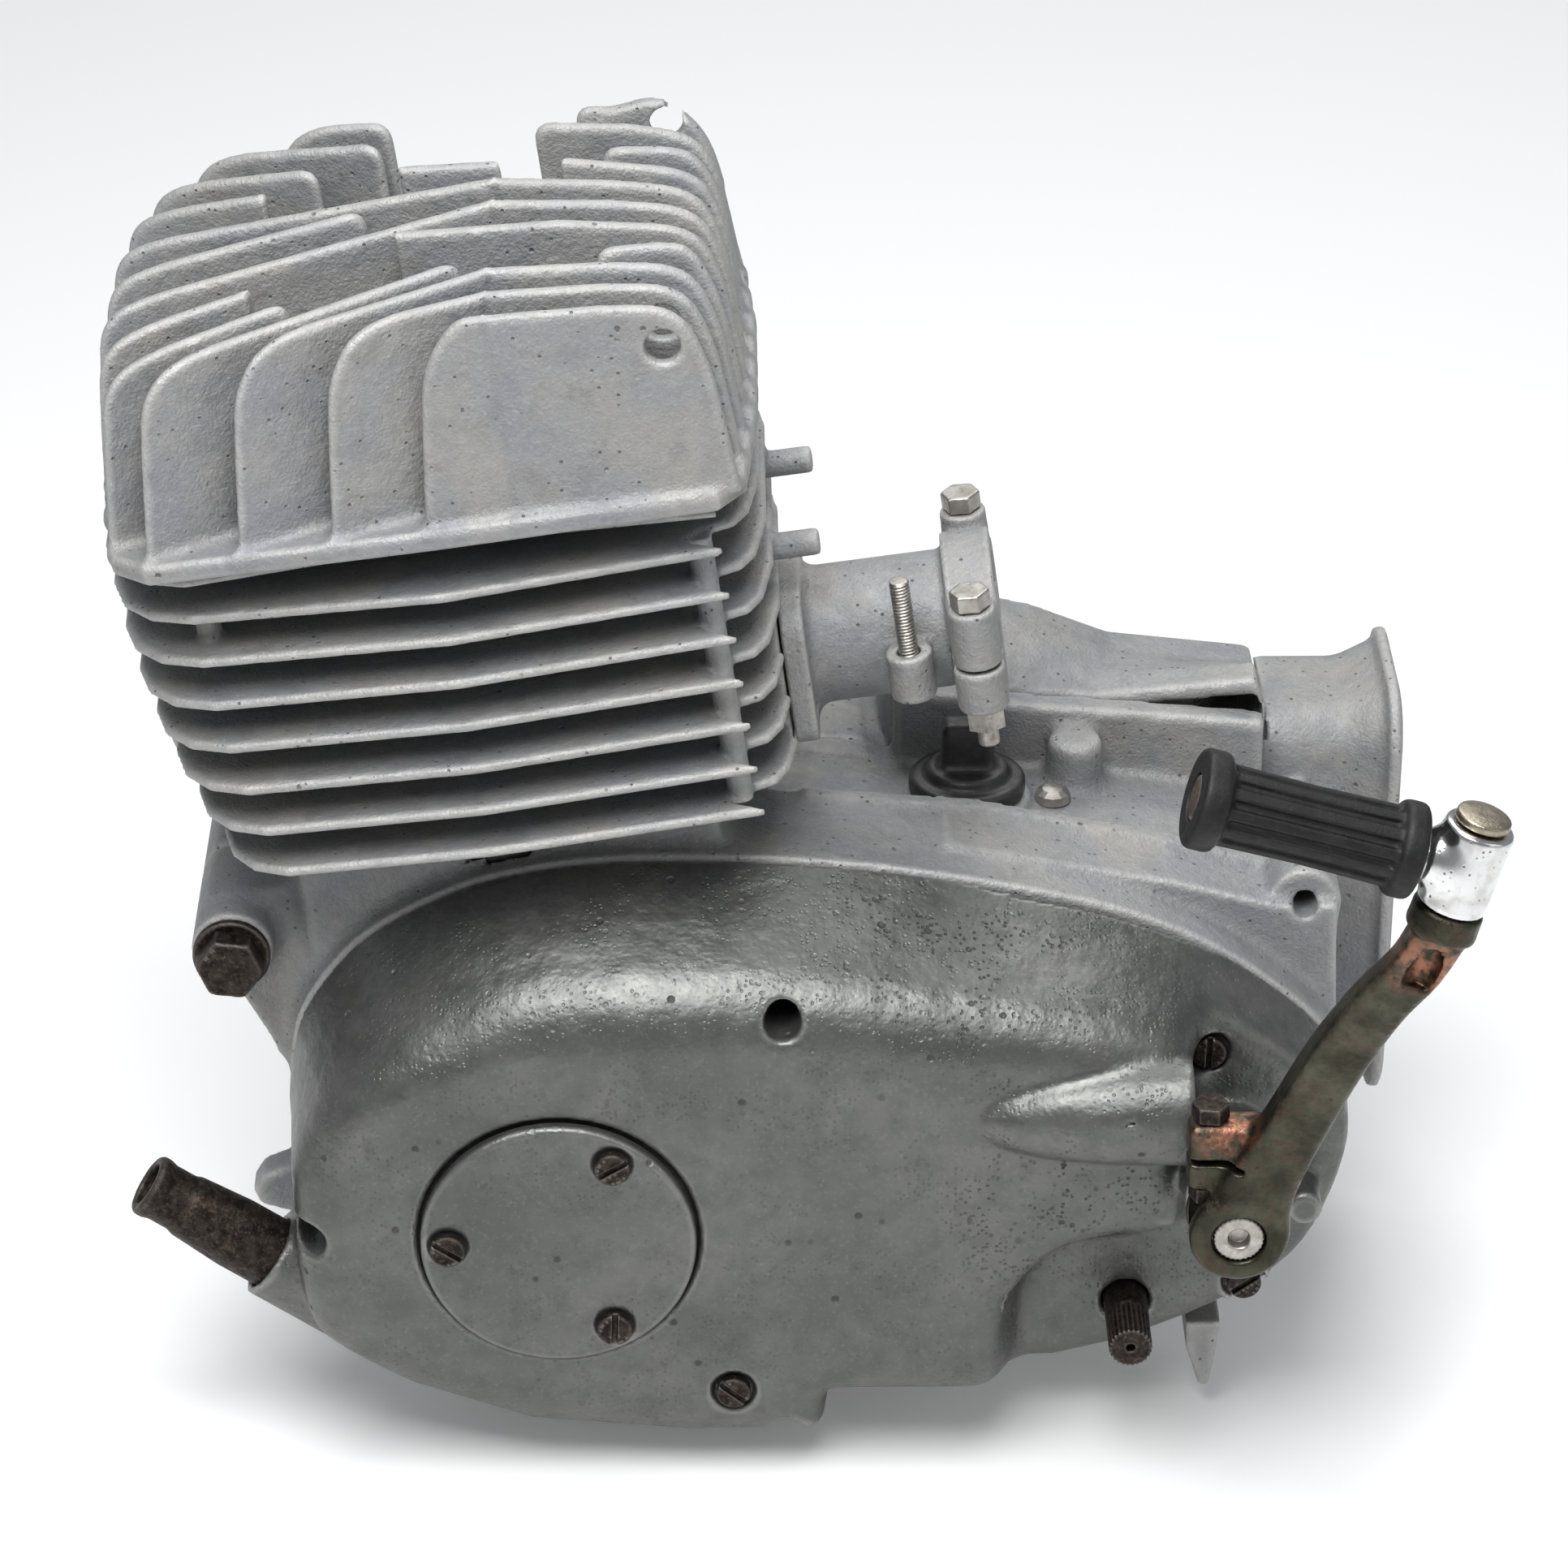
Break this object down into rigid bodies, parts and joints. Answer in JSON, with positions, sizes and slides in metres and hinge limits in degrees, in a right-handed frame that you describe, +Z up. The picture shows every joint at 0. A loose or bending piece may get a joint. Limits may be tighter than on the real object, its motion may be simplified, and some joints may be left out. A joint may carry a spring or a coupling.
{
  "type": "single-cylinder motorcycle engine",
  "caption": "Air-cooled two-stroke motorcycle engine with a finned cylinder leaning forward, a domed clutch cover, a built-in gearbox, a kick starter with a folding pedal and a chain tunnel.",
  "frame": {"origin": "on the flat sole of the crankcase, straight below the crankshaft axis", "axes": "+X to the rear of the engine, +Y to the chain side (the rider's right), +Z up; the crankshaft runs along Y"},
  "size_m": [0.3747, 0.2603, 0.3617],
  "materials": {
    "cast_aluminium": "bead-blasted casting, matt",
    "polished_aluminium": "worn polished casting with corrosion pits",
    "steel": "bare machined steel",
    "dark_steel": "oxidised steel",
    "rubber": "black, matt",
    "worn_nickel": "worn plating with rust and copper showing",
    "chrome": "worn bright plating",
    "gasket": "pressed fibre",
    "ceramic": "glazed",
    "iron": "machined iron"
  },
  "bodies": {
    "engine": {"crankcase_left": "cast_aluminium", "crankcase_right": "cast_aluminium", "clutch_cover": "polished_aluminium", "right_cover": "cast_aluminium", "inspection_cover": "polished_aluminium", "inspection_screw_1": "dark_steel", "inspection_screw_2": "dark_steel", "inspection_screw_3": "dark_steel", "cover_screw_1": "dark_steel", "cover_screw_2": "dark_steel", "cover_screw_3": "dark_steel", "front_mount_bolt": "dark_steel", "front_mount_washer": "dark_steel", "front_mount_nut": "dark_steel", "tacho_socket": "dark_steel", "oil_filler_plug": "rubber", "case_top_screw": "steel", "cable_gaiter": "rubber", "main_bearing_left": "steel", "main_bearing_right": "steel", "alternator_stator": "iron", "cylinder": "cast_aluminium", "cylinder_liner": "iron", "base_gasket": "gasket", "head_gasket": "gasket", "cylinder_head": "cast_aluminium", "cylinder_stud_1": "steel", "cylinder_stud_2": "steel", "cylinder_stud_3": "steel", "cylinder_stud_4": "steel", "spark_plug": "ceramic", "inlet_stub": "cast_aluminium", "clamp_cap": "cast_aluminium", "clamp_bolt_near": "steel", "clamp_bolt_far": "steel", "clamp_nut_near": "steel", "clamp_nut_far": "steel", "idle_stop_screw": "steel"},
    "crankshaft": {"crank_web_left": "steel", "crank_web_right": "steel", "primary_pinion": "steel", "clutch_basket": "steel", "clutch_plates": "iron", "clutch_pressure_plate": "cast_aluminium", "alternator_rotor": "iron"},
    "piston_group": {"piston": "cast_aluminium", "gudgeon_pin": "steel"},
    "rod_group": {"connecting_rod": "steel", "crankpin": "steel"},
    "main_shaft_group": {"gearbox_main_shaft": "steel", "primary_gear": "steel"},
    "output_group": {"gearbox_output_shaft": "steel", "chain_sprocket": "steel"},
    "shift_group": {"shift_shaft": "dark_steel"},
    "kick_group": {"kick_shaft": "steel", "kick_lever": "worn_nickel", "kick_pinch_bolt": "dark_steel", "pedal_pin": "steel"},
    "pedal_group": {"pedal_arm": "chrome", "pedal_rubber": "rubber"}
  },
  "joints": [
    {"name": "crankshaft_turn", "type": "hinge", "parent": "engine", "child": "crankshaft", "pos_m": [0, 0, 0.082], "axis": [0, 1, 0], "continuous": true},
    {"name": "piston_stroke", "type": "slide", "parent": "engine", "child": "piston_group", "axis": [-0.1392, 0, 0.9903], "range_m": [0, 0.065]},
    {"name": "rod_swing", "type": "hinge", "parent": "piston_group", "child": "rod_group", "pos_m": [-0.01468, 0, 0.18647], "axis": [0, 1, 0], "range_deg": [-13.6, 13.6]},
    {"name": "main_shaft_turn", "type": "hinge", "parent": "engine", "child": "main_shaft_group", "pos_m": [0.104, 0, 0.089], "axis": [0, 1, 0], "continuous": true},
    {"name": "output_shaft_turn", "type": "hinge", "parent": "engine", "child": "output_group", "pos_m": [0.152, 0, 0.104], "axis": [0, 1, 0], "continuous": true},
    {"name": "gear_change", "type": "hinge", "parent": "engine", "child": "shift_group", "pos_m": [0.162, 0, 0.045], "axis": [0, 1, 0], "range_deg": [-12, 12], "stiffness_Nm_per_rad": 1.5},
    {"name": "kick_start", "type": "hinge", "parent": "engine", "child": "kick_group", "pos_m": [0.1884, 0, 0.0995], "axis": [0, 1, 0], "range_deg": [0, 70], "stiffness_Nm_per_rad": 2, "springref_deg": -22.92},
    {"name": "pedal_fold", "type": "hinge", "parent": "kick_group", "child": "pedal_group", "pos_m": [0.24, -0.145, 0.2325], "axis": [0.2756, 0, 0.9613], "range_deg": [0, 90]}
  ],
  "couplings": [
    {"joint": "main_shaft_turn", "follows": "crankshaft_turn", "ratio": -0.7931}
  ]
}
